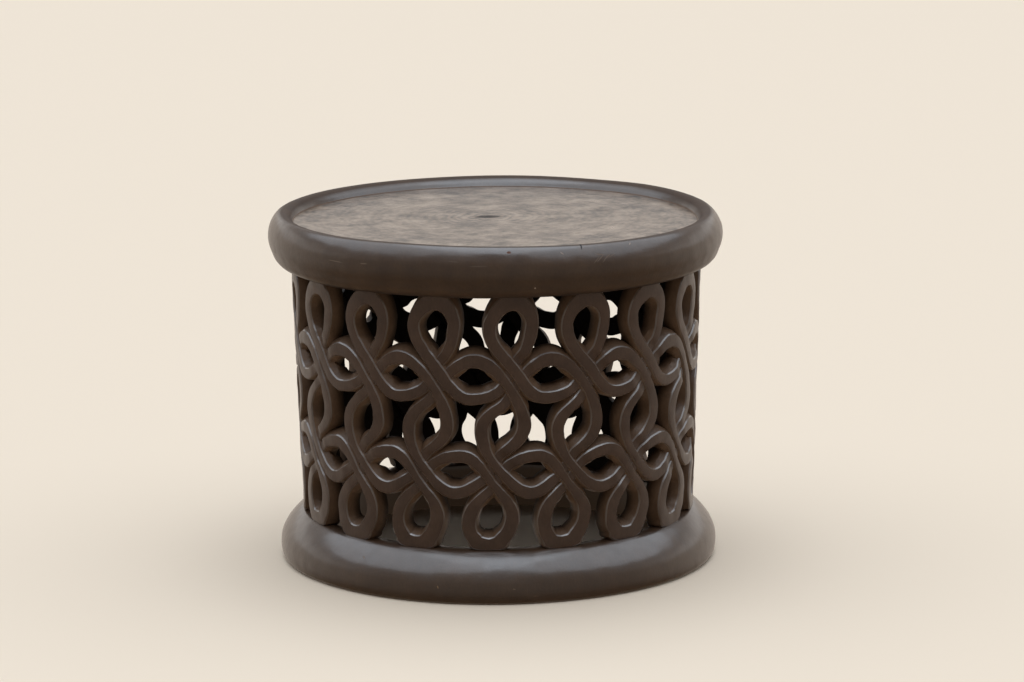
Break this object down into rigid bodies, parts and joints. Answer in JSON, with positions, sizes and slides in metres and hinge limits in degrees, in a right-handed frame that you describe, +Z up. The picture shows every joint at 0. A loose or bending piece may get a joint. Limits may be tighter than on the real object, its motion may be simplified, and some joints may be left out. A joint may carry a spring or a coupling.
{
  "type": "drum table",
  "caption": "Round low table carved as a drum: dished top with a fat rounded rim, pierced wall of interwoven strands and a rounded foot ring that is open in the middle.",
  "frame": {"origin": "centre of the sole of the foot ring, on the floor", "axes": "+Z up along the table's axis, -Y towards the side that shows a middle-row loop nearest the centre"},
  "size_m": [0.5602, 0.5602, 0.432],
  "materials": {
    "carved_wood": "dark stained and waxed, satin"
  },
  "bodies": {
    "root": {"tabletop": "carved_wood", "base_ring": "carved_wood", "upper_loop_01": "carved_wood", "upper_loop_02": "carved_wood", "upper_loop_03": "carved_wood", "upper_loop_04": "carved_wood", "upper_loop_05": "carved_wood", "upper_loop_06": "carved_wood", "upper_loop_07": "carved_wood", "upper_loop_08": "carved_wood", "upper_loop_09": "carved_wood", "upper_loop_10": "carved_wood", "upper_loop_11": "carved_wood", "upper_loop_12": "carved_wood", "upper_loop_13": "carved_wood", "upper_loop_14": "carved_wood", "upper_loop_15": "carved_wood", "upper_loop_16": "carved_wood", "upper_loop_17": "carved_wood", "ring_01": "carved_wood", "ring_02": "carved_wood", "ring_03": "carved_wood", "ring_04": "carved_wood", "ring_05": "carved_wood", "ring_06": "carved_wood", "ring_07": "carved_wood", "ring_08": "carved_wood", "ring_09": "carved_wood", "ring_10": "carved_wood", "ring_11": "carved_wood", "ring_12": "carved_wood", "ring_13": "carved_wood", "ring_14": "carved_wood", "ring_15": "carved_wood", "ring_16": "carved_wood", "ring_17": "carved_wood", "lower_loop_01": "carved_wood", "lower_loop_02": "carved_wood", "lower_loop_03": "carved_wood", "lower_loop_04": "carved_wood", "lower_loop_05": "carved_wood", "lower_loop_06": "carved_wood", "lower_loop_07": "carved_wood", "lower_loop_08": "carved_wood", "lower_loop_09": "carved_wood", "lower_loop_10": "carved_wood", "lower_loop_11": "carved_wood", "lower_loop_12": "carved_wood", "lower_loop_13": "carved_wood", "lower_loop_14": "carved_wood", "lower_loop_15": "carved_wood", "lower_loop_16": "carved_wood", "lower_loop_17": "carved_wood"}
  },
  "joints": []
}
